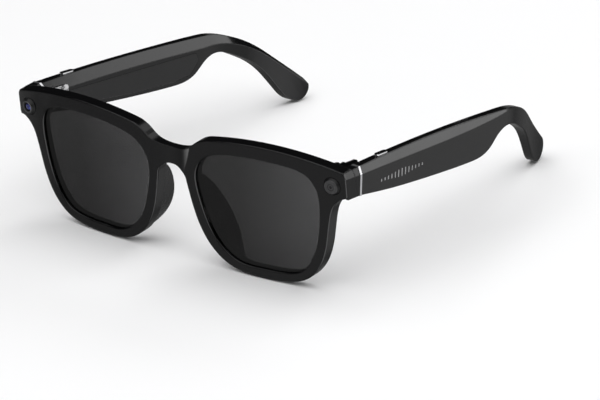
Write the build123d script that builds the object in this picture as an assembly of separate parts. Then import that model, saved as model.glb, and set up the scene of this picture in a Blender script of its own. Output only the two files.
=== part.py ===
from build123d import *
import os
from math import cos, exp, radians, sin, sqrt, tan

# Smart glasses, in millimetres. +X is the wearer's left, the front faces -Y and +Z is up.
# Everything is drawn in a wearing frame, where the temples run level along +Y. The whole
# object is then pitched so that the rims and the temple tails rest on z = 0.

# ---- overall attitude
PANTOSCOPIC = 9.7        # lean of the front plane against the temples, degrees
REST_PITCH = -6.7        # pitch of the temples when the glasses stand on a table, degrees

# ---- front plate, drawn flat as (x, height) and wrapped on a vertical cylinder
WRAP_R = 545.0
PLATE_T = 4.8
LENS_FRONT = 0.9         # depth of the lens's front face behind the plate's front face
LENS_T = 1.9
GROOVE = 0.7             # how far the lens groove runs into the rim
LENS_PLAY = 0.05
GROWN_POINTS = 40        # points that carry a grown lens outline
EDGE_R = 0.5
SCOOP_R = 28.0           # shallow vertical scoop across the bridge's front face
SCOOP_DEPTH = 1.5        # at the bridge's upper edge
SCOOP_LEAN = 6.5
PAD_CREST = 10.0         # both long rear edges of a nose fin have their middles behind this
PAD_FLARE = 0.13         # how far a nose fin leans outwards for each mm of depth
END_X = 74.9             # outer side of the front plate
END_TOP = -11.0
END_BOTTOM = -20.2

# ---- brow channel in the back of the front plate
BROW_W = 2.6
BROW_COVER_T = 0.9
FLEX_W = 1.6
FLEX_T = 0.3
CHANNEL_DEPTH = 2.2

# ---- camera and status light
EYE_X = 69.5
EYE_H = -16.2
WINDOW_R = 3.2
WINDOW_T = 1.4
WINDOW_RISE = 0.6        # how far a window stands proud of the front face
BARREL_R = 1.9
BARREL_BORE_R = 2.1
BARREL_START = 6.2
BARREL_LENGTH = 3.3
HOUSING_GAP = 0.05       # between an end housing and its temple's trim ring
HOUSING_INNER_X = 66.8
HOUSING_BOTTOM = -19.0
PLATE_STATION = 8.0      # where the housing's side meets the front plate's side
PLATE_FRONT = 4.0        # just ahead of the front plate's ends
END_DROP = -0.55         # fall of the housing's top towards the front plate
WEDGE = 3.0

# ---- temples, as stations along y
TEMPLE_START = 14.7
RING_T = 1.0
OUTER_X = 76.09          # outer plane where y = 0
TOE_IN = 0.0377          # how much the outer plane closes in for each mm of y
TEMPLE_T = 8.28
TEMPLE_TOP = -8.9
CROWN = 0.9              # rise of the top between the ring and the bend
BEND_START = 101.0
BEND_R = 50.0
BEND_ANGLE = 37.5
S_START = 104.0          # the arm curves inwards between these two stations
S_END = 160.0
S_INSET = 12.0
TAIL_T = 4.0
TIP_Y = 145.2            # middle of the rounded tip
TIP_Z = -35.9
LAST_STATION = 156.0     # the stations run a little past the tip
STATIONS = 28

# ---- temple inside
WALL = 1.5
COVER_T = 1.2
COVER_TOP = -13.1
COVER_START = 26.0
LEDGE = 0.9

# ---- keys on the temple's top face
KEY_Y = 30.5
KEY_LENGTH = 6.5
KEY_WIDTH = 1.9
KEY_PROUD = 0.7
CAP_T = 0.15
KEY_PLAY = 0.15
REAR_KEY_Y = 79.5
REAR_KEY_LENGTH = 7.0
REAR_KEY_WIDTH = 1.7

# ---- hinge
PIVOT_X = 65.6
PIVOT_Y = 14.9
KNUCKLE_R = 1.45
PIN_R = 0.6
PIN_PLAY = 0.03
HINGE_Z = -13.8          # height of the hinge's middle on the pivot axis
KNUCKLE_H = 2.6
KNUCKLE_GAP = 0.12
LEAF_T = 1.0
LEAF_END = 24.5
FLANGE_BACK = 10.0       # depth of the front leaf's flange behind the front tangent plane
KEY_TRAVEL = 0.4
SWITCH_H = 0.6
SWITCH_FLOOR = -12.4
TICKS = 13
TICK_PITCH = 2.05
TICK_START = 27.5

FRONT = Rot(PANTOSCOPIC, 0, 0)


def box_at(x0, x1, y0, y1, z0, z1):
    """An upright box between two corners."""
    middle = Pos((x0 + x1) / 2, (y0 + y1) / 2, (z0 + z1) / 2)
    return middle * Box(x1 - x0, y1 - y0, z1 - z0)


def rounded_box(x0, x1, y0, y1, z0, z1, radius):
    """A box with all its edges rounded."""
    block = box_at(x0, x1, y0, y1, z0, z1)
    return fillet(block.edges(), radius)


def upright(face, y0, y1):
    """Extrudes a face drawn in x and height from depth y0 to depth y1."""
    return Pos(0, y0, 0) * extrude(Plane.XZ * face, amount=y1 - y0, dir=(0, 1, 0))


def corner(face, x, y):
    """The face's vertex nearest to a point."""
    return face.vertices().sort_by_distance((x, y, 0))[0]


def wrapped(depth):
    """The solid cylinder behind the front plane, its skin the given depth behind the front face."""
    return Pos(0, WRAP_R, -35) * Cylinder(WRAP_R - depth, 120)


def shell_between(depth_0, depth_1):
    """The part of the wrap between two depths, as a block near the wearer's face."""
    near = box_at(-80, 80, -5, 40, -90, 20)
    return (wrapped(depth_0) - wrapped(depth_1)) & near


def both_sides(shape):
    """A shape on the wearer's left and its mirror image."""
    return shape + mirror(shape, about=Plane.YZ)


# ---------------------------------------------------------------- front plate
def plate_outline():
    """Outer outline of the front, with the bridge's two edges."""
    bridge_top = ThreePointArc((0, -15.5), (4.5, -15.2), (8.2, -14.3))
    rise = Line((8.2, -14.3), (13.6, -9.6))
    brow = ThreePointArc((13.6, -9.6), (42, -6.9), (END_X, END_TOP))
    side = Line((END_X, END_TOP), (END_X, END_BOTTOM))
    heel = Line((END_X, END_BOTTOM), (72.6, -20.9))
    rim = Spline(
        (72.6, -20.9), (69.0, -24.3), (67.2, -29.4), (65.3, -38.6), (61.9, -47.9), (55.2, -55.0),
        (45, -57.8), (32.5, -58.1), (22.6, -56.1), (14.9, -50.2), (10.8, -43.4), (8.0, -34.5), (6.2, -25.6))
    arch = ThreePointArc((6.2, -25.6), (4.0, -22.9), (0, -21.8))
    centre = Line((0, -21.8), (0, -15.5))
    half = make_face([bridge_top, rise, brow, side, heel, rim, arch, centre])
    half = fillet(corner(half, 8.2, -14.3), 9.0)
    half = fillet(corner(half, 13.6, -9.6), 13.0)
    half = fillet(corner(half, END_X, END_TOP), 2.0)
    half = fillet(corner(half, END_X, END_BOTTOM), 1.2)
    return both_sides(half)


def lens_outline(grow=0.0):
    """Rounded-square opening on the wearer's left, or the same shape grown evenly."""
    edge = Spline(
        (10.9, -25.0), (12.6, -19.4), (16.2, -15.8), (21.5, -13.7), (31.0, -12.3), (43.0, -12.0), (53.0, -12.6),
        (59.4, -14.8), (62.4, -19.4), (62.9, -26.0), (61.3, -37.7), (58.4, -46.0), (53.6, -51.9), (46.5, -54.1),
        (36.5, -54.5), (27.5, -54.0), (20.0, -49.6), (15.5, -43.0), (12.6, -34.8), periodic=True)
    if grow:
        steps = [i / GROWN_POINTS for i in range(GROWN_POINTS)]
        edge = Spline(*[edge.position_at(t) + (edge.tangent_at(t) * grow).rotate(Axis.Z, 90) for t in steps],
                      periodic=True)
    return make_face(edge)


def eye_frame():
    """Where the camera window sits: on the front face, with local +z looking out along its normal."""
    turn = EYE_X / WRAP_R
    depth = WRAP_R * (1 - cos(turn))
    normal = Vector(sin(turn), -cos(turn), 0)
    return Plane(origin=(WRAP_R * sin(turn), depth, EYE_H), x_dir=(0, 0, 1), z_dir=normal)


def brow_path():
    """Middle line of the brow channel, from one end housing to the other."""
    left = [(69.5, -13.4), (62, -10.9), (50, -9.5), (36, -9.3), (22, -10.7), (14.2, -13.1), (8.4, -16.7)]
    right = [(-x, h) for x, h in reversed(left)]
    return Spline(*left, (0, -18.5), *right)


def channel(width, depth_0, depth_1):
    """The brow channel's body at one width, between two depths."""
    return upright(trace(brow_path(), width), -5, 40) & shell_between(depth_0, depth_1)


def eye_cuts():
    """Window seat and barrel bore for one side of the front."""
    seat = eye_frame() * Pos(0, 0, WINDOW_RISE - WINDOW_T) * Cylinder(
        WINDOW_R, 6, align=(Align.CENTER, Align.CENTER, Align.MIN))
    bore = Pos(EYE_X, 10, EYE_H) * Rot(90, 0, 0) * Cylinder(BARREL_BORE_R, 12)
    return seat + (bore & wrapped(WINDOW_T - WINDOW_RISE + 0.3))


def front_frame():
    """One-piece front with both lens openings, window seats and the brow channel."""
    plate = upright(plate_outline(), -5, 40) & shell_between(0, PLATE_T)
    plate -= both_sides(upright(lens_outline(), -5, 40))
    front_face = plate.faces().filter_by(GeomType.CYLINDER).sort_by(SortBy.AREA)[-1]
    rear_face = plate.faces().filter_by(GeomType.CYLINDER).sort_by(SortBy.AREA)[-2]
    plate = fillet(front_face.edges() + rear_face.edges(), EDGE_R)
    scoop = Pos(0, SCOOP_DEPTH - SCOOP_R, -14.5) * Rot(-SCOOP_LEAN, 0, 0) * Cylinder(SCOOP_R, 40)
    plate -= scoop
    groove = upright(lens_outline(GROOVE), -5, 40)
    plate -= both_sides(groove & shell_between(LENS_FRONT, LENS_FRONT + LENS_T))
    plate -= both_sides(eye_cuts())
    plate -= channel(BROW_W, PLATE_T - BROW_COVER_T, PLATE_T + 2)
    plate -= channel(FLEX_W, PLATE_T - CHANNEL_DEPTH, PLATE_T + 2)
    return plate


def lens():
    """Lens blank that sits in the groove."""
    blank = upright(lens_outline(GROOVE - LENS_PLAY), -5, 40)
    return blank & shell_between(LENS_FRONT + LENS_PLAY, LENS_FRONT + LENS_T - LENS_PLAY)


def seat_behind(shape):
    """Trims a shape so that its front lies on the plate's rear face."""
    return shape & wrapped(PLATE_T)


def window():
    """Flat disc that stands a little proud in its seat in the front plate."""
    return eye_frame() * Pos(0, 0, WINDOW_RISE - WINDOW_T / 2) * Cylinder(WINDOW_R - 0.05, WINDOW_T)


def barrel_piece(radius, hole, start, length):
    """A round piece on the camera's axis, start being its depth behind the front tangent plane."""
    tube = Cylinder(radius, length)
    if hole:
        tube -= Cylinder(hole, length)
    return Pos(EYE_X, start + length / 2, EYE_H) * Rot(90, 0, 0) * tube


def nose_pad():
    """Crescent fin that grows out of the rim's nose side and flares outwards towards the face."""
    side = mirror(plate_outline(), about=Plane.YZ) & Pos(15, -42) * Rectangle(26, 38)
    band = Plane.XZ * (side - lens_outline(1.0))
    blade = extrude(band, amount=22, dir=(PAD_FLARE, 1, 0))
    crescent = Spline(
        (2.0, -23.4), (7.6, -27.0), (11.8, -34.0), (13.8, -41.5), (13.2, -48.5), (8.2, -54.5), (2.0, -58.0))
    back = Line((2.0, -58.0), (2.0, -23.4))
    profile = Pos(-20, 0, 0) * extrude(Plane.YZ * make_face([crescent, back]), amount=60)
    fin = blade & profile & wrapped(PLATE_T)
    crest = [edge for edge in fin.edges() if edge.center().Y > PAD_CREST]
    return fillet(crest, 0.9)


# ---------------------------------------------------------------- temples
def smooth(t):
    """Eases from 0 to 1."""
    t = min(max(t, 0), 1)
    return t * t * (3 - 2 * t)


def temple_top(y):
    """Height of the temple's top: a slight crown, a round bend, then a straight slope."""
    if y < BEND_START:
        half = (BEND_START - TEMPLE_START) / 2
        along = (y - TEMPLE_START - half) / half
        return TEMPLE_TOP + CROWN * max(1 - along ** 2, 0)
    turn = radians(BEND_ANGLE)
    bend_end = BEND_START + BEND_R * sin(turn)
    if y < bend_end:
        return TEMPLE_TOP - BEND_R + sqrt(BEND_R ** 2 - (y - BEND_START) ** 2)
    return TEMPLE_TOP - BEND_R * (1 - cos(turn)) - (y - bend_end) * tan(turn)


def temple_thickness(y):
    """Width of the temple across y."""
    return TEMPLE_T - (TEMPLE_T - TAIL_T) * smooth((y - 92) / 48)


def outer_x(y):
    thin = (TEMPLE_T - temple_thickness(y)) / 2
    return OUTER_X - TOE_IN * y - S_INSET * smooth((y - S_START) / (S_END - S_START)) - thin


def inner_x(y):
    return outer_x(y) - temple_thickness(y)


def bevel_drop(y):
    """Height of the outer bevel: fullest a third of the way back, fading towards the bend."""
    if y < 62:
        return 3.7 - 0.9 * ((62 - y) / 46) ** 2
    return max(3.7 - 3.2 * ((y - 62) / 48) ** 2, 0.5)


def temple_section(y, grow=0.0, floor=-70.0):
    """Cross-section of the temple across y: flat top with a steep outer and a wide inner bevel."""
    top = temple_top(y) + grow
    out = outer_x(y) + grow
    inn = inner_x(y) - grow
    drop = bevel_drop(y)
    wide = temple_thickness(y)
    outline = Polyline(
        (out, floor), (out, top - drop), (out - 0.4 * drop, top), (out - 0.507 * wide, top),
        (inn, top - 0.4 * wide), (inn, floor), close=True)
    return Pos(0, y, 0) * (Plane.XZ * make_face(outline))


def side_profile():
    """Side outline of a temple in y and height; its top is left to the sections."""
    turn = radians(BEND_ANGLE)
    radius = 1.03 * (temple_top(TIP_Y) - TIP_Z) * cos(turn)
    heel = (TIP_Y - 0.26 * radius, TIP_Z - 0.966 * radius)
    crest = (TIP_Y + radius * sin(turn), TIP_Z + radius * cos(turn))
    under = Spline(
        (TEMPLE_START, -19.0), (32, -20.9), (50, -22.2), (68, -23.1), (82, -23.5), (90, -23.0), (95.2, -21.0),
        (99.4, -17.9), (103.8, -15.9), (108.3, -15.6), (113, -16.8), (118.5, -19.2), (124.5, -22.4),
        (129.8, -26.7), (133.7, -31.2), (137.2, -35.6), (140.3, -38.9), heel, tangents=[(1, -0.12), (0.966, -0.26)])
    tip = ThreePointArc(heel, (TIP_Y + radius, TIP_Z), crest)
    roof = Polyline(crest, (140, 0), (TEMPLE_START, 0), (TEMPLE_START, -19.0))
    return make_face([under, tip] + roof.edges())


def temple_blank():
    """The whole outer shape of a temple behind the trim ring."""
    start = TEMPLE_START + RING_T
    pitch = (LAST_STATION - start) / STATIONS
    sections = [temple_section(start + pitch * i) for i in range(STATIONS, -1, -1)]
    body = loft(sections)
    profile = extrude(Plane.YZ * side_profile(), amount=100)
    return body & profile


def slanted(shape):
    """Lays a shape drawn on x = 0 against the temple's inner face; +x is into the wall."""
    return Pos(OUTER_X - TEMPLE_T, 0, 0) * Rot(0, 0, 2.159) * shape


def cover_outline(shrink=0.0):
    """Outline of the inner cover in y and height."""
    points = [
        (COVER_START, COVER_TOP), (95, COVER_TOP), (96.4, -16.2), (91.8, -20.8), (84, -21.8), (60, -21.2),
        (COVER_START, -18.8)]
    face = make_face(Polyline(*points, close=True))
    face = fillet(face.vertices(), 1.3)
    return offset(face, -shrink)


def into_wall(face, x0, x1):
    """Extrudes a face drawn in y and height from x0 to x1 into the temple's inner face."""
    return slanted(Pos(x0, 0, 0) * extrude(Plane.YZ * face, amount=x1 - x0))


def key_shape(y, length, width, low, high, grow=0.0):
    """Slot-ended upright key centred on the temple's top face."""
    x = outer_x(y) - 0.33 * TEMPLE_T
    face = SlotOverall(length + 2 * grow, width + 2 * grow)
    return Pos(x, y, low) * Rot(0, 0, 90 + 2.159) * extrude(face, amount=high - low)


def tick_marks():
    """Row of thirteen raised marks whose heights swell towards the middle."""
    marks = Part()
    for i in range(TICKS):
        y = TICK_START + TICK_PITCH * i
        tall = 0.9 + 1.9 * exp(-((i - TICKS // 2) / 3.2) ** 2)
        mark = Box(0.7, 0.55, tall)
        marks += Pos(OUTER_X - TOE_IN * y - 0.3, y, -16.6) * Rot(0, 0, 2.159) * mark
    return marks


# ---------------------------------------------------------------- hinge
def on_pivot(shape):
    """Places a shape drawn about the hinge's middle, with the pivot along local z."""
    return Pos(PIVOT_X, PIVOT_Y, HINGE_Z) * Rot(PANTOSCOPIC, 0, 0) * shape


def knuckle(level, bore):
    """One knuckle: level 1 is the upper, 0 the middle and -1 the lower."""
    height = level * (KNUCKLE_H + KNUCKLE_GAP)
    return Pos(0, 0, height) * (Cylinder(KNUCKLE_R, KNUCKLE_H) - Cylinder(bore, KNUCKLE_H))


def hinge_half():
    return 1.5 * KNUCKLE_H + KNUCKLE_GAP


def front_leaf():
    """Flange behind the rim, an arm back to the pivot, and the middle knuckle."""
    half = KNUCKLE_H / 2
    flange = FRONT * seat_behind(box_at(63.6, 66.6, 4, FLANGE_BACK, -20.2, -12.8))
    arm = on_pivot(box_at(-1.0, 1.0, -6, 0, -half, half) - Cylinder(PIN_R + PIN_PLAY, KNUCKLE_H))
    arm = FRONT * seat_behind(Rot(-PANTOSCOPIC, 0, 0) * arm)
    return flange + arm + on_pivot(knuckle(0, PIN_R + PIN_PLAY)) - leaf_screw_cuts()


def leaf_screw_cuts():
    """Shanks of the two flange screws, as drawn by leaf_screws."""
    return FRONT * screw_pair(0.45, 6.0, 12.0)


def screw_pair(radius, d0, d1):
    pair = Part()
    for height in (-19.0, -13.65):
        pair += Pos(64.6, (d0 + d1) / 2, height) * Rot(90, 0, 0) * Cylinder(radius, d1 - d0)
    return pair


def leaf_screws():
    return FRONT * (screw_pair(0.45, 6.0, FLANGE_BACK) + screw_pair(0.85, FLANGE_BACK, FLANGE_BACK + 0.35))


def temple_leaf():
    """Plate on the temple's inner face with the upper and lower knuckles."""
    half = hinge_half()
    outline = Pos((PIVOT_Y + 1.3 + LEAF_END) / 2, HINGE_Z) * RectangleRounded(
        LEAF_END - PIVOT_Y - 1.3, 2 * half - 0.4, 1.2)
    leaf = into_wall(outline, -LEAF_T, 0)
    leaf -= on_pivot(Cylinder(KNUCKLE_R + 0.15, KNUCKLE_H + 2 * KNUCKLE_GAP))
    for level in (1, -1):
        height = level * (KNUCKLE_H + KNUCKLE_GAP)
        web = Pos(0, 0, height) * box_at(0.45, KNUCKLE_R, 0, 2.8, -KNUCKLE_H / 2, KNUCKLE_H / 2)
        leaf += on_pivot(web - Pos(0, 0, height) * Cylinder(PIN_R, KNUCKLE_H))
        leaf += on_pivot(knuckle(level, PIN_R))
    return leaf - into_wall(leaf_rivet_outline(0.5), -3, 2)


def leaf_rivet_outline(radius):
    """The two rivets of the temple leaf in y and height."""
    return Pos(19.0, -16.2) * Circle(radius) + Pos(22.4, -16.2) * Circle(radius)


def leaf_rivets():
    heads = into_wall(leaf_rivet_outline(0.85), -LEAF_T - 0.3, -LEAF_T)
    return heads + into_wall(leaf_rivet_outline(0.5), -LEAF_T, 1.5)


def hinge_screw():
    half = hinge_half()
    head = Pos(0, 0, half + 0.2) * Cylinder(1.05, 0.4)
    slot = Pos(0, 0, half + 0.35) * Box(2.4, 0.3, 0.2)
    return on_pivot(Cylinder(PIN_R, 2 * half) + head - slot)


# ---------------------------------------------------------------- end housings
def end_block():
    """The temple's shape carried forward over the front plate's end."""
    ahead = Pos(END_X - outer_x(PLATE_STATION), 0, END_DROP) * temple_section(PLATE_STATION, floor=HOUSING_BOTTOM)
    rear = TEMPLE_START - HOUSING_GAP
    return loft([temple_section(rear, floor=HOUSING_BOTTOM), ahead])


def end_housing():
    """Block between the front plate and the temple, hollow towards the plate."""
    rear = TEMPLE_START - HOUSING_GAP
    block = end_block() + box_at(HOUSING_INNER_X, 71, 3, rear, HOUSING_BOTTOM, -12.6)
    flat = Rot(-PANTOSCOPIC, 0, 0) * block
    flat = seat_behind(flat) - box_at(67.5, 74.0, 0, 11.3, -18.4, -12.2)
    return FRONT * flat - on_pivot(Cylinder(KNUCKLE_R + 0.25, 14))


def end_cheek():
    """Skin on the front plate's end that brings it flush with the housing."""
    return FRONT * shell_between(EDGE_R, PLATE_T) & end_block() & box_at(END_X - 0.8, END_X + 3, 0, 20, -25, 0)


def bevel_wedge(y, out):
    """Section across y of what the outer bevel takes away from a piece whose side is at out."""
    top = temple_top(y) + END_DROP * (TEMPLE_START - y) / (TEMPLE_START - PLATE_STATION)
    low = top - bevel_drop(y)
    high = top + WEDGE
    lean = 0.4 * (high - low)
    outline = Polyline((out, low), (out - lean, high), (out + WEDGE, high), (out + WEDGE, low), close=True)
    return Pos(0, y, 0) * (Plane.XZ * make_face(outline))


def end_bevel():
    """What the outer bevel takes off the front plate's top corner."""
    rear = bevel_wedge(TEMPLE_START, outer_x(TEMPLE_START))
    middle = bevel_wedge(PLATE_STATION, END_X)
    return loft([rear, middle, bevel_wedge(PLATE_FRONT, END_X)], ruled=True)


def sensor_board():
    return FRONT * seat_behind(box_at(67.8, 73.4, BARREL_START + BARREL_LENGTH + 0.05, 10.15, -18.0, -12.6))


# ---------------------------------------------------------------- temple assembly
def trim_ring():
    """Thin ring that caps the temple's front end, standing slightly proud."""
    start = temple_section(TEMPLE_START, grow=0.12, floor=-19.15)
    end = temple_section(TEMPLE_START + RING_T, grow=0.12, floor=-19.25)
    bore = box_at(69.3, 73.4, 10, 20, -17.2, -12.4)
    return loft([end, start]) - bore


def temple_shell(rear_key, marks):
    shell = temple_blank()
    shell = fillet(shell.edges(), 0.3)
    shell -= into_wall(cover_outline(), -2, COVER_T)
    shell -= into_wall(cover_outline(LEDGE), COVER_T - 0.1, TEMPLE_T - WALL)
    shell -= key_shape(KEY_Y, KEY_LENGTH, KEY_WIDTH, SWITCH_FLOOR, -5, KEY_PLAY)
    shell -= into_wall(speaker_slot(), 2.5, 5.5)
    shell -= into_wall(leaf_rivet_outline(0.5), -3, 1.5)
    shell -= slanted(Pos(2.8, 33, -19.5) * Cylinder(0.5, 4))
    if rear_key:
        shell -= key_shape(REAR_KEY_Y, REAR_KEY_LENGTH, REAR_KEY_WIDTH, SWITCH_FLOOR, -5, KEY_PLAY)
    if marks:
        shell -= tick_marks()
    return shell


def speaker_slot():
    """Sound opening in the temple's underside, in y and height."""
    return Pos(85, -22) * Rectangle(10, 4)


def speaker_grille():
    plate = slanted(box_at(2.5, 5.5, 80, 90, -23.0, -22.3))
    for i in range(8):
        plate -= slanted(box_at(3.0, 5.0, 80.9 + 1.07 * i, 81.5 + 1.07 * i, -24, -22))
    return plate


def contact_outline(radius):
    spots = Sketch()
    for i in range(3):
        spots += Pos(31 + 3.4 * i, -16.1) * Circle(radius)
    return spots


def key_body(y, length, width, top):
    return key_shape(y, length, width, SWITCH_FLOOR + SWITCH_H + KEY_TRAVEL + 0.1, top)


def key_switch(y):
    return key_shape(y, 3.2, 1.4, SWITCH_FLOOR, SWITCH_FLOOR + SWITCH_H)


def add_temple(side, right):
    """Adds one temple's pieces; they are drawn on the left and mirrored for the right."""
    cover = into_wall(cover_outline(0.05), 0, COVER_T)
    if right:
        cover -= into_wall(contact_outline(1.0), -1, 0.8)
    cap_top = temple_top(KEY_Y) + KEY_PROUD
    pieces = {
        "temple_shell": temple_shell(not right, not right),
        "trim_ring": trim_ring(),
        "inner_cover": cover,
        "temple_hinge_leaf": temple_leaf(),
        "leaf_rivets": leaf_rivets(),
        "hinge_screw": hinge_screw(),
        "key_body": key_body(KEY_Y, KEY_LENGTH, KEY_WIDTH, cap_top - CAP_T),
        "key_cap": key_shape(KEY_Y, KEY_LENGTH, KEY_WIDTH, cap_top - CAP_T, cap_top),
        "key_switch": key_switch(KEY_Y),
        "circuit_board": slanted(box_at(5.3, 6.1, 28, 43.5, -17.6, -14.4)),
        "chips": slanted(box_at(4.3, 5.3, 29.5, 34, -17.2, -14.6) + box_at(4.5, 5.3, 36, 39.5, -17.0, -14.8)),
        "touch_sensor": slanted(box_at(6.5, 6.75, 28, 56, -17.6, -14.4)),
        "battery": slanted(rounded_box(1.6, 5.9, 45, 77, -19.1, -14.4, 1.0)),
        "speaker": slanted(rounded_box(1.7, 6.2, 79.5, 90.8, -19.7, -14.5, 0.7)),
        "speaker_grille": speaker_grille(),
        "microphone": slanted(box_at(1.6, 4.0, 31.5, 34.5, -17.6, -16.6)),
    }
    if right:
        pieces["charging_contacts"] = into_wall(contact_outline(1.0), 0, 0.8)
    else:
        pieces["rear_key"] = key_body(REAR_KEY_Y, REAR_KEY_LENGTH, REAR_KEY_WIDTH, temple_top(REAR_KEY_Y) - 0.05)
        pieces["rear_key_switch"] = key_switch(REAR_KEY_Y)
        pieces["touch_marks"] = tick_marks()
    for name, shape in pieces.items():
        put(side + "_" + name, mirror(shape, about=Plane.YZ) if right else shape)


# ---------------------------------------------------------------- assembly
parts = {}


def put(name, shape):
    parts[name] = shape


def put_pair(name, shape):
    put("left_" + name, shape)
    put("right_" + name, mirror(shape, about=Plane.YZ))


def add_front():
    plate = FRONT * front_frame() + both_sides(end_cheek())
    put("front_frame", plate - both_sides(leaf_screw_cuts() + end_bevel()))
    put_pair("lens", FRONT * lens())
    put_pair("nose_pad", FRONT * nose_pad())
    strip = channel(BROW_W - 0.1, PLATE_T - BROW_COVER_T, PLATE_T)
    put("brow_cover", FRONT * (strip & box_at(-66.7, 66.7, 0, 20, -30, 0)))
    floor = PLATE_T - CHANNEL_DEPTH
    put("front_flex_cable", FRONT * channel(FLEX_W - 0.2, floor, floor + FLEX_T))
    put_pair("end_housing", end_housing())
    put_pair("front_hinge_leaf", front_leaf())
    put_pair("leaf_screws", leaf_screws())
    barrel = barrel_piece(BARREL_R, 1.5, BARREL_START, BARREL_LENGTH)
    glass = barrel_piece(1.5, 0, BARREL_START + 0.3, 1.4)
    put("camera_window", mirror(FRONT * window(), about=Plane.YZ))
    put("camera_barrel", mirror(FRONT * barrel, about=Plane.YZ))
    put("camera_lens_stack", mirror(FRONT * glass, about=Plane.YZ))
    put("camera_sensor_board", mirror(sensor_board(), about=Plane.YZ))
    pinhole = eye_frame() * Cylinder(0.55, 8)
    put("status_window", FRONT * (window() - pinhole))
    put("status_light_guide", FRONT * barrel_piece(BARREL_R, 0, BARREL_START, BARREL_LENGTH))
    put("status_light_board", sensor_board())


def to_rest():
    """Pitches the object onto its rims and tails, and centres it over the origin."""
    pitch = Rot(REST_PITCH, 0, 0)
    for name in parts:
        parts[name] = pitch * parts[name]
    boxes = [shape.bounding_box() for shape in parts.values()]
    low = min(box.min.Z for box in boxes)
    front = min(box.min.Y for box in boxes)
    back = max(box.max.Y for box in boxes)
    shift = Pos(0, -(front + back) / 2, -low)
    for name in parts:
        parts[name] = shift * parts[name]


os.makedirs("parts", exist_ok=True)
add_front()
add_temple("left", False)
add_temple("right", True)
to_rest()
for name, shape in parts.items():
    export_step(shape, "parts/" + name + ".step")
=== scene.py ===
import math

import bmesh
import bpy
from mathutils import Matrix, Vector


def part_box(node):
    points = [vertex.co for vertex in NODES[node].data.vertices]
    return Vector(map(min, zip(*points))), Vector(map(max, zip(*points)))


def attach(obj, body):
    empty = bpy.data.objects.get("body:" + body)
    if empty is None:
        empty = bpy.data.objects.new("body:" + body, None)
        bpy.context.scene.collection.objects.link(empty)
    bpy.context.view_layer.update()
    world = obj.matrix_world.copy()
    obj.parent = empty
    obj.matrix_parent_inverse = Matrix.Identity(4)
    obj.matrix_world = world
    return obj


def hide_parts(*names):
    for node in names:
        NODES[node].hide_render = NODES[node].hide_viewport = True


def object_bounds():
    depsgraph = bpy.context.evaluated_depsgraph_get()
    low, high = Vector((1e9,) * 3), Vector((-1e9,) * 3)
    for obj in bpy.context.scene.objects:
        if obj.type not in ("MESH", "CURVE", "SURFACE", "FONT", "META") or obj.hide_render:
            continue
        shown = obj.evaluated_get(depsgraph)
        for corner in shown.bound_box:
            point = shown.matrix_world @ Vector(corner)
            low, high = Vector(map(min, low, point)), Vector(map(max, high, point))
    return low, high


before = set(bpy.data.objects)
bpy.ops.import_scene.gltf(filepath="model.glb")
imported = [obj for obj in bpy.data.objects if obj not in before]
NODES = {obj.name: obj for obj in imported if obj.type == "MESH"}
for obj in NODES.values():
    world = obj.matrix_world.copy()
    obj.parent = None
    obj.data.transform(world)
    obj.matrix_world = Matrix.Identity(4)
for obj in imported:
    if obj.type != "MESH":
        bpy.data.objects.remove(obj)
cad_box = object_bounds()

# ---- viewpoint, in metres and in the wearing attitude: the object stands pitched on its rims and tails
REST_PITCH = math.radians(-6.7)
VIEW_AZIMUTH = math.radians(38.04)
VIEW_ELEVATION = math.radians(18.17)
VIEW_ROLL = math.radians(1.378)
VIEW_DISTANCE = 1.4744
FOCAL_MM = 258.6
AIM = Vector((0.0611, -0.07523, 0.0380))

MM = 0.001

# ---- the front plate's face at its two round windows
FACE_TURN = 0.1275              # radians round the plate's curve from the bridge
FACE_LEAN = math.radians(3.0)   # from upright, at rest
WINDOW_HALF = 0.7 * MM          # half the thickness of a window
SEGMENTS = 72                   # round a turned piece
SMOOTH_BELOW = math.radians(50) # a turned piece keeps its sharper edges
COLLAR = [                      # foot of both windows, as rows of a turned profile, in mm
    (2.76, -0.10, 2), (3.00, -0.50, 2), (3.10, -0.62, 2), (3.12, -1.36, 2), (3.06, -1.40, 2), (0, -1.40, 2)]
DOME_R = 1.4                    # the camera's front element, in mm
DOME_RISE = 0.42
DOME_FOOT = 0.02

# ---- the stage, in metres; a light's level is its radiance
AIR_UNDER = 0.0002              # between the lowest point and the floor
FLOOR_HALF = 3.0
LIT_POINT = Vector((0, 0, 0.03))
LIGHTS = (                      # name, direction it stands in, distance, width, height, level
    ("overhead", (0.1, -0.15, 1), 1.5, 2.8, 2.8, 1.95),
    ("back_right", (0.64, 0.76, 0.12), 1.6, 1.3, 0.36, 4.4),
    ("back_top", (0.12, 0.82, 0.58), 1.7, 1.2, 0.5, 3.2),
    ("front_fill", (-0.5, -1.0, 0.5), 1.8, 1.2, 0.8, 0.8),
)
HORIZON = 0.03                  # half the height over which the room's glow fades out
ROOM_ABOVE = 0.03               # glow above the horizon, against 1 below it
FRONT_LEVELS = (0.34, 0.8)      # glow ahead, as the front plate mirrors it at its right and its left end
SIDE_RISE = 0.78                # added on the wearer's left
BACK_FALL = -0.15               # added behind the object
BRIDGE_GLOW = 2.0
BRIDGE_GLOW_FROM = (-0.87, -0.23, -0.444)

# ---- finishes
BLACK = (0.003, 0.003, 0.0033)
# paler black and its direction: a painted highlight on faces that point one way
PAINTED_HIGHLIGHT_BLACK = (0.075, 0.075, 0.076)
PAINTED_HIGHLIGHT_TOWARDS = (0.74, -0.67, -0.04)
EDGE_RADIUS = 0.45 * MM         # of the softened shading on gloss edges
# smoke tint of the lens, and the paler end of a painted reflection gradient across it
LENS_SMOKE_AND_PAINTED_LIGHT = ((0.022, 0.022, 0.022), (0.060, 0.060, 0.061))
LENS_PAINTED_LIGHT_START = -63 * MM      # the wearer's right edge of the first lens's painted reflection gradient
LENS_PAINTED_LIGHT_PITCH = 74 * MM       # from one lens to the other


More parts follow.
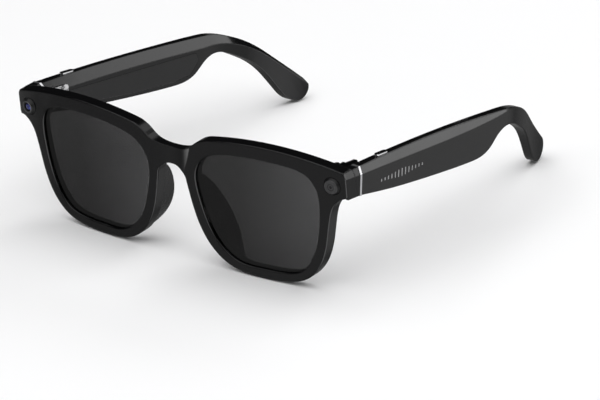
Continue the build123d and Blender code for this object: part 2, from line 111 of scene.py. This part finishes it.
# ---------------------------------------------------------------- stage
def add_camera():
    """Long-lens camera at three-quarter view from the wearer's left."""
    pitch = Matrix.Rotation(REST_PITCH, 3, "X")
    back = Vector((math.sin(VIEW_AZIMUTH) * math.cos(VIEW_ELEVATION),
                   -math.cos(VIEW_AZIMUTH) * math.cos(VIEW_ELEVATION),
                   math.sin(VIEW_ELEVATION)))
    right = Vector((math.cos(VIEW_AZIMUTH), math.sin(VIEW_AZIMUTH), 0))
    roll = Matrix.Rotation(VIEW_ROLL, 3, back)
    right = roll @ right
    up = back.cross(right)
    axes = Matrix((pitch @ right, pitch @ up, pitch @ back)).transposed()
    data = bpy.data.cameras.new("view")
    data.lens = FOCAL_MM
    data.sensor_width = 36
    data.clip_end = 20
    camera = bpy.data.objects.new("view", data)
    place = Matrix.Translation(AIM + pitch @ back * VIEW_DISTANCE)
    camera.matrix_world = place @ axes.to_4x4()
    bpy.context.scene.collection.objects.link(camera)
    bpy.context.scene.camera = camera


def add_softbox(name, toward, distance, width, height, level):
    """Rectangular light facing the object from a direction."""
    data = bpy.data.lights.new(name, "AREA")
    data.shape = "RECTANGLE"
    data.size = width
    data.size_y = height
    data.energy = level * math.pi * width * height
    lamp = bpy.data.objects.new(name, data)
    away = Vector(toward).normalized()
    lamp.location = LIT_POINT + away * distance
    lamp.rotation_euler = away.to_track_quat("Z", "Y").to_euler()
    bpy.context.scene.collection.objects.link(lamp)


def map_range(tree, source, from_low, from_high, to_low, to_high):
    """Spreads one range of values over another, held at its ends."""
    spread = tree.nodes.new("ShaderNodeMapRange")
    spread.inputs["From Min"].default_value = from_low
    spread.inputs["From Max"].default_value = from_high
    spread.inputs["To Min"].default_value = to_low
    spread.inputs["To Max"].default_value = to_high
    tree.links.new(source, spread.inputs["Value"])
    return spread.outputs["Result"]


def toward_spot(tree, source, direction, from_cosine, to_cosine, level):
    """Zero where a source vector points away from a direction, rising to a level within a cone round it."""
    spot = tree.nodes.new("ShaderNodeVectorMath")
    spot.operation = "DOT_PRODUCT"
    spot.inputs[1].default_value = Vector(direction).normalized()
    tree.links.new(source, spot.inputs[0])
    return map_range(tree, spot.outputs["Value"], from_cosine, to_cosine, 0, level)


def combine(tree, operation, first, second):
    """One value made of two by ADD or MULTIPLY."""
    result = tree.nodes.new("ShaderNodeMath")
    result.operation = operation
    tree.links.new(first, result.inputs[0])
    tree.links.new(second, result.inputs[1])
    return result.outputs["Value"]


def dim_room():
    """Nearly dark above the horizon; below it, what gloss sees in place of the floor, lighter on one side.

    A small glow low on the wearer's right shows only in the hollow of the bridge.
    """
    world = bpy.data.worlds.new("studio")
    world.use_nodes = True
    tree = world.node_tree
    place = tree.nodes.new("ShaderNodeTexCoord")
    split = tree.nodes.new("ShaderNodeSeparateXYZ")
    tree.links.new(place.outputs["Generated"], split.inputs["Vector"])
    ahead = map_range(tree, split.outputs["Y"], -0.5, -0.8, *FRONT_LEVELS)
    beside = map_range(tree, split.outputs["X"], 0.1, 0.5, 0, SIDE_RISE)
    behind = map_range(tree, split.outputs["Y"], 0, 0.5, 0, BACK_FALL)
    below = map_range(tree, split.outputs["Z"], -HORIZON, HORIZON, 1, ROOM_ABOVE)
    around = combine(tree, "ADD", ahead, combine(tree, "ADD", beside, behind))
    level = combine(tree, "MULTIPLY", around, below)
    glow = toward_spot(tree, place.outputs["Generated"], BRIDGE_GLOW_FROM, 0.972, 0.992, BRIDGE_GLOW)
    tree.links.new(combine(tree, "ADD", level, glow), tree.nodes["Background"].inputs["Strength"])
    tree.nodes["Background"].inputs["Color"].default_value = (1, 1, 1, 1)
    return world


def add_stage():
    """The room, four softboxes and a pale floor that gloss doesn't see."""
    bpy.context.scene.world = dim_room()
    bpy.context.scene.view_settings.view_transform = "Standard"
    for light in LIGHTS:
        add_softbox(*light)
    mesh = bpy.data.meshes.new("floor")
    work = bmesh.new()
    bmesh.ops.create_grid(work, x_segments=1, y_segments=1, size=FLOOR_HALF)
    work.to_mesh(mesh)
    work.free()
    floor = bpy.data.objects.new("floor", mesh)
    floor.location.z = cad_box[0][2] - AIR_UNDER
    mesh.materials.append(surface("floor", (0.86, 0.86, 0.865), 0.9, specular=0.1))
    bpy.context.scene.collection.objects.link(floor)
    floor.visible_glossy = False


# ---------------------------------------------------------------- materials
def surface(name, color, rough, specular=0.5, metal=0.0, **more):
    """A principled material with constant values on its own sockets."""
    material = bpy.data.materials.new(name)
    material.use_nodes = True
    shader = material.node_tree.nodes["Principled BSDF"].inputs
    shader["Base Color"].default_value = (*color, 1)
    shader["Roughness"].default_value = rough
    shader["Specular IOR Level"].default_value = specular
    shader["Metallic"].default_value = metal
    for key, value in more.items():
        shader[key.replace("_", " ")].default_value = value
    return material


def noise(material, scale, detail, stretch=(1, 1, 1)):
    """A noise texture in object metres, stretched along an axis where asked."""
    tree = material.node_tree
    place = tree.nodes.new("ShaderNodeTexCoord")
    mapping = tree.nodes.new("ShaderNodeMapping")
    mapping.inputs["Scale"].default_value = stretch
    texture = tree.nodes.new("ShaderNodeTexNoise")
    texture.inputs["Scale"].default_value = scale
    texture.inputs["Detail"].default_value = detail
    tree.links.new(place.outputs["Object"], mapping.inputs["Vector"])
    tree.links.new(mapping.outputs["Vector"], texture.inputs["Vector"])
    return texture.outputs["Fac"]


def vary_roughness(material, source, low, high):
    """Spreads the roughness between two values by a texture."""
    tree = material.node_tree
    spread = map_range(tree, source, 0.35, 0.65, low, high)
    tree.links.new(spread, tree.nodes["Principled BSDF"].inputs["Roughness"])


def bump(material, source, height, strength):
    """Raises the surface by a texture, height in metres."""
    tree = material.node_tree
    relief = tree.nodes.new("ShaderNodeBump")
    relief.inputs["Distance"].default_value = height
    relief.inputs["Strength"].default_value = strength
    tree.links.new(source, relief.inputs["Height"])
    tree.links.new(relief.outputs["Normal"], tree.nodes["Principled BSDF"].inputs["Normal"])


def tint(material, source, dark, light, low=0.4, high=0.6):
    """Runs the base colour between two colours by a texture."""
    tree = material.node_tree
    ramp = tree.nodes.new("ShaderNodeValToRGB")
    ramp.color_ramp.elements[0].position = low
    ramp.color_ramp.elements[0].color = (*dark, 1)
    ramp.color_ramp.elements[1].position = high
    ramp.color_ramp.elements[1].color = (*light, 1)
    tree.links.new(source, ramp.inputs["Fac"])
    tree.links.new(ramp.outputs["Color"], tree.nodes["Principled BSDF"].inputs["Base Color"])


def soften_edges(material, radius):
    """Rounds the shading across sharp edges, under the bump."""
    tree = material.node_tree
    edge = tree.nodes.new("ShaderNodeBevel")
    edge.samples = 4
    edge.inputs["Radius"].default_value = radius
    relief = next(node for node in tree.nodes if node.bl_idname == "ShaderNodeBump")
    tree.links.new(edge.outputs["Normal"], relief.inputs["Normal"])


def gloss_black():
    """Polished black moulding: smudged gloss, a trace of orange peel, and a painted highlight: paler colour
    on faces that point one way, which lights the rims' edges on one side.
    """
    material = surface("gloss_black", BLACK, 0.1, specular=0.2)
    tree = material.node_tree
    place = tree.nodes.new("ShaderNodeTexCoord")
    # painted highlight: faces that point one way are coloured paler
    painted_highlight = toward_spot(tree, place.outputs["Normal"], PAINTED_HIGHLIGHT_TOWARDS, 0.88, 0.97, 1)
    tint(material, painted_highlight, BLACK, PAINTED_HIGHLIGHT_BLACK, 0, 1)
    vary_roughness(material, noise(material, 90, 5), 0.09, 0.15)
    bump(material, noise(material, 700, 2), 2e-6, 0.35)
    soften_edges(material, EDGE_RADIUS)
    return material


def satin_black():
    """Fine spark-eroded texture on the inner covers."""
    material = surface("satin_black", (0.006, 0.006, 0.0065), 0.32, specular=0.25)
    vary_roughness(material, noise(material, 240, 5), 0.28, 0.38)
    bump(material, noise(material, 5200, 3), 6e-6, 0.5)
    return material


def smoke_lens():
    """Smoked polymer lens with a painted reflection: each tint pales towards the wearer's left, the same way
    on both lenses, and the skin is barely wavy.
    """
    material = surface("smoke_lens", LENS_SMOKE_AND_PAINTED_LIGHT[0], 0.02, Transmission_Weight=1.0, IOR=1.26)
    tree = material.node_tree
    place = tree.nodes.new("ShaderNodeTexCoord")
    mapping = tree.nodes.new("ShaderNodeMapping")
    mapping.vector_type = "TEXTURE"
    mapping.inputs["Scale"].default_value = (LENS_PAINTED_LIGHT_PITCH, 1, 1)
    mapping.inputs["Location"].default_value = (LENS_PAINTED_LIGHT_START, 0, 0)
    wrap = tree.nodes.new("ShaderNodeVectorMath")
    wrap.operation = "WRAP"
    wrap.inputs[1].default_value = (1, 1, 1)
    wrap.inputs[2].default_value = (0, 0, 0)
    painted_light_fade = tree.nodes.new("ShaderNodeTexGradient")
    tree.links.new(place.outputs["Object"], mapping.inputs["Vector"])
    tree.links.new(mapping.outputs["Vector"], wrap.inputs[0])
    tree.links.new(wrap.outputs["Vector"], painted_light_fade.inputs["Vector"])
    # painted reflection: the base colour pales across each lens the same way
    tint(material, painted_light_fade.outputs["Fac"], *LENS_SMOKE_AND_PAINTED_LIGHT, 0.25, 0.72)
    vary_roughness(material, noise(material, 160, 4), 0.012, 0.035)
    bump(material, noise(material, 60, 2), 3e-6, 0.2)
    return material


def clear_glass():
    """Polished glass with faint smears."""
    material = surface("clear_glass", (0.9, 0.92, 0.95), 0.01, Transmission_Weight=1.0, IOR=1.5)
    vary_roughness(material, noise(material, 500, 4), 0.006, 0.03)
    return material


def moulded(name, color, rough, grain=4200, depth=5e-6):
    """Moulded plastic: a fine erosion grain, gloss that varies and a slightly mottled colour."""
    material = surface(name, color, rough, specular=0.3)
    vary_roughness(material, noise(material, 300, 5), rough - 0.04, rough + 0.05)
    tint(material, noise(material, 650, 5), [0.9 * c for c in color], [1.1 * c for c in color])
    bump(material, noise(material, grain, 3), depth, 0.5)
    return material


def brushed(name, color, rough):
    """Metal brushed front to back."""
    material = surface(name, color, rough, metal=1.0)
    grain = noise(material, 900, 6, (9, 0.6, 9))
    vary_roughness(material, grain, rough - 0.06, rough + 0.08)
    tint(material, grain, [0.92 * c for c in color], color)
    bump(material, grain, 2e-6, 0.6)
    return material


def patchy_metal():
    """Steel hinge leaf with random near-black patches."""
    material = surface("patchy_metal", (0.6, 0.6, 0.61), 0.25, metal=1.0)
    patches = noise(material, 620, 3, (1, 0.5, 1.4))
    tint(material, patches, (0.015, 0.015, 0.016), (0.6, 0.6, 0.61), 0.44, 0.54)
    vary_roughness(material, patches, 0.4, 0.2)
    return material


def chrome():
    """Polished chrome with faint finger marks."""
    material = surface("bright_chrome", (0.7, 0.7, 0.715), 0.07, metal=1.0)
    vary_roughness(material, noise(material, 400, 5), 0.04, 0.13)
    return material


def circuit_green():
    """Solder mask over copper tracks."""
    material = surface("board_green", (0.01, 0.09, 0.04), 0.35, specular=0.5)
    tree = material.node_tree
    place = tree.nodes.new("ShaderNodeTexCoord")
    tracks = tree.nodes.new("ShaderNodeTexBrick")
    tracks.inputs["Scale"].default_value = 620
    tracks.inputs["Color1"].default_value = (0.008, 0.075, 0.034, 1)
    tracks.inputs["Color2"].default_value = (0.014, 0.11, 0.05, 1)
    tracks.inputs["Mortar"].default_value = (0.05, 0.2, 0.09, 1)
    tracks.inputs["Mortar Size"].default_value = 0.035
    tree.links.new(place.outputs["Object"], tracks.inputs["Vector"])
    tree.links.new(tracks.outputs["Color"], tree.nodes["Principled BSDF"].inputs["Base Color"])
    bump(material, tracks.outputs["Fac"], 2e-5, 0.4)
    return material


def foil():
    """Crinkled silver pouch of a battery."""
    material = surface("battery_foil", (0.55, 0.56, 0.58), 0.3, metal=1.0)
    crinkle = noise(material, 260, 7)
    vary_roughness(material, crinkle, 0.22, 0.4)
    tint(material, crinkle, (0.48, 0.49, 0.51), (0.6, 0.61, 0.63))
    bump(material, crinkle, 4e-5, 0.7)
    return material


def striped_film():
    """Amber polyimide film with copper lines running through it."""
    material = surface("amber_film", (0.42, 0.19, 0.04), 0.3, specular=0.5)
    tree = material.node_tree
    place = tree.nodes.new("ShaderNodeTexCoord")
    lines = tree.nodes.new("ShaderNodeTexWave")
    lines.bands_direction = "Z"
    lines.inputs["Scale"].default_value = 700
    lines.inputs["Distortion"].default_value = 0.6
    tree.links.new(place.outputs["Object"], lines.inputs["Vector"])
    tint(material, lines.outputs["Fac"], (0.34, 0.13, 0.02), (0.5, 0.25, 0.07), 0.3, 0.7)
    bump(material, lines.outputs["Fac"], 1e-5, 0.5)
    return material


def lens_coating():
    """Blue-violet reflection of a coated camera element, slightly clouded."""
    material = surface("lens_coating", (0.07, 0.08, 0.3), 0.12, metal=1.0)
    cloud = noise(material, 900, 3)
    tint(material, cloud, (0.03, 0.03, 0.13), (0.1, 0.12, 0.36))
    vary_roughness(material, cloud, 0.08, 0.2)
    return material


def assign(material, *names):
    """Gives nodes one material."""
    for name in names:
        slots = NODES[name].data.materials
        slots.clear()
        slots.append(material)


def make_materials():
    """Every finish by the name of its slot in the record, and one more for a hinge leaf."""
    return {
        "gloss_black": gloss_black(),
        "satin_black": satin_black(),
        "smoke_lens": smoke_lens(),
        "clear_glass": clear_glass(),
        "dark_grey_plastic": moulded("dark_grey_plastic", (0.006, 0.006, 0.0065), 0.28, 4200, 1.5e-6),
        "mid_grey_plastic": moulded("mid_grey_plastic", (0.04, 0.04, 0.041), 0.4),
        "light_grey_ink": moulded("light_grey_ink", (0.3, 0.3, 0.305), 0.42),
        "chip_black": moulded("chip_black", (0.012, 0.012, 0.013), 0.5, 2600, 1e-5),
        "dark_contact": moulded("dark_contact", (0.007, 0.007, 0.0075), 0.5, 4200, 1e-6),
        "black_metal": brushed("black_metal", (0.03, 0.03, 0.032), 0.32),
        "silver_metal": brushed("silver_metal", (0.5, 0.5, 0.515), 0.36),
        "patchy_metal": patchy_metal(),
        "bright_chrome": chrome(),
        "coated_glass": lens_coating(),
        "battery_foil": foil(),
        "amber_film": striped_film(),
        "board_green": circuit_green(),
    }


def dress_nodes():
    """Each node takes its slot's finish, except where the hinges are blackened."""
    for name, node in NODES.items():
        slot = node.data.materials[0].name.split(".")[0] if node.data.materials else ""
        assign(FINISH.get(slot, FINISH["gloss_black"]), name)
    assign(FINISH["patchy_metal"], "right_temple_hinge_leaf")
    assign(FINISH["black_metal"], "left_hinge_screw", "right_hinge_screw", "left_temple_hinge_leaf")


# ---------------------------------------------------------------- turned pieces in the front plate
def middle(name):
    """Centre of a node's box at rest."""
    low, high = (Vector(c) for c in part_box(name))
    return (low + high) / 2


def turned(name, profile, materials, at, toward, stands_for):
    """A turned piece on an axis: each profile row is radius and height in mm and the next band's material."""
    mesh = bpy.data.meshes.new(name)
    for material in materials:
        mesh.materials.append(material)
    work = bmesh.new()
    rings = []
    for radius, height, _ in profile:
        if radius == 0:
            rings.append([work.verts.new((0, 0, height * MM))])
            continue
        angles = [math.tau * i / SEGMENTS for i in range(SEGMENTS)]
        rings.append([work.verts.new((radius * MM * math.cos(a), radius * MM * math.sin(a), height * MM))
                      for a in angles])
    for inner, outer, row in zip(rings, rings[1:], profile):
        for i in range(SEGMENTS):
            j = (i + 1) % SEGMENTS
            loop = [inner[i % len(inner)], outer[i % len(outer)],
                    outer[j % len(outer)], inner[j % len(inner)]]
            corners = [v for k, v in enumerate(loop) if v not in loop[:k]]
            band = work.faces.new(corners)
            band.material_index = row[2]
            band.smooth = True
    bmesh.ops.recalc_face_normals(work, faces=work.faces)
    work.to_mesh(mesh)
    work.free()
    mesh.set_sharp_from_angle(angle=SMOOTH_BELOW)
    piece = bpy.data.objects.new(name, mesh)
    turn = toward.to_track_quat("Z", "Y").to_matrix()
    piece.matrix_world = Matrix.Translation(at) @ turn.to_4x4()
    bpy.context.scene.collection.objects.link(piece)
    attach(piece, "front")
    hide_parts(stands_for)


def plate_normal(side):
    """Outward normal of the front plate at the camera or the status window."""
    flat = Vector((side * math.sin(FACE_TURN), -math.cos(FACE_TURN), 0))
    return Matrix.Rotation(FACE_LEAN, 3, "X") @ flat


def add_status_window():
    """Grey disc with a ringed, drilled middle, on a black collar that tapers down to the front plate."""
    profile = [
        (0, 0.30, 1), (0.30, 0.28, 1), (0.44, 0.18, 2), (0.50, 0.42, 0), (0.60, 0.45, 0), (1.02, 0.45, 0),
        (1.10, 0.39, 2), (1.24, 0.39, 2), (1.32, 0.45, 0), (2.24, 0.47, 0), (2.44, 0.44, 0), (2.54, 0.36, 0),
        (2.60, 0.22, 2)] + COLLAR
    finishes = [FINISH["mid_grey_plastic"], FINISH["chip_black"], FINISH["dark_contact"]]
    toward = plate_normal(1)
    at = middle("status_window") + toward * WINDOW_HALF
    turned("status_disc", profile, finishes, at, toward, "status_window")


def add_camera_window():
    """Dark stepped bezel round a domed, coated front element with a dark stop in its middle."""
    dome = [(r, DOME_FOOT + DOME_RISE * (1 - (r / DOME_R) ** 2), 1)
            for r in (0.36, 0.5, 0.7, 0.9, 1.1, 1.25, 1.36)]
    bezel = [
        (1.42, 0.0, 2), (1.56, 0.0, 2), (1.62, 0.36, 0), (1.74, 0.41, 0), (2.30, 0.43, 0), (2.44, 0.41, 0),
        (2.54, 0.32, 0), (2.60, 0.18, 2)]
    finishes = [FINISH["dark_grey_plastic"], FINISH["coated_glass"], FINISH["dark_contact"]]
    toward = plate_normal(-1)
    at = middle("camera_window") + toward * WINDOW_HALF
    turned("camera_cover", [(0, 0.38, 2)] + dome + bezel + COLLAR, finishes,
           at, toward, "camera_window")


FINISH = make_materials()
add_camera()
add_stage()
dress_nodes()
add_status_window()
add_camera_window()
